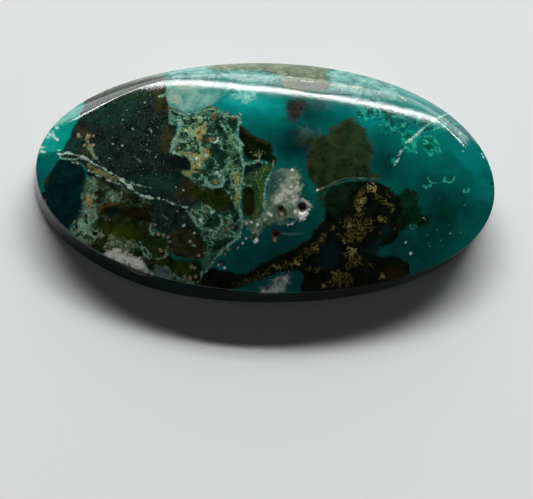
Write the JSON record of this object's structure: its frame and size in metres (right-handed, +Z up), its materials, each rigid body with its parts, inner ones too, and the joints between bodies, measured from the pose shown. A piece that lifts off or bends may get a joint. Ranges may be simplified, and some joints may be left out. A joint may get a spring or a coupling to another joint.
{
  "type": "chrysocolla cabochon",
  "caption": "Flat-backed oval stone with a low polished dome, chrysocolla and malachite in dark matrix, ready to set or display.",
  "frame": {"origin": "on the flat back, under the middle of the stone's bounding box", "axes": "+X along the oval's long axis, +Y across it, +Z up from the flat back through the dome"},
  "size_m": [0.0236, 0.0128, 0.0034],
  "materials": {
    "polished_stone": "high polish, opaque to faintly translucent silica stone"
  },
  "bodies": {
    "root": {"cabochon": "polished_stone"}
  },
  "joints": []
}
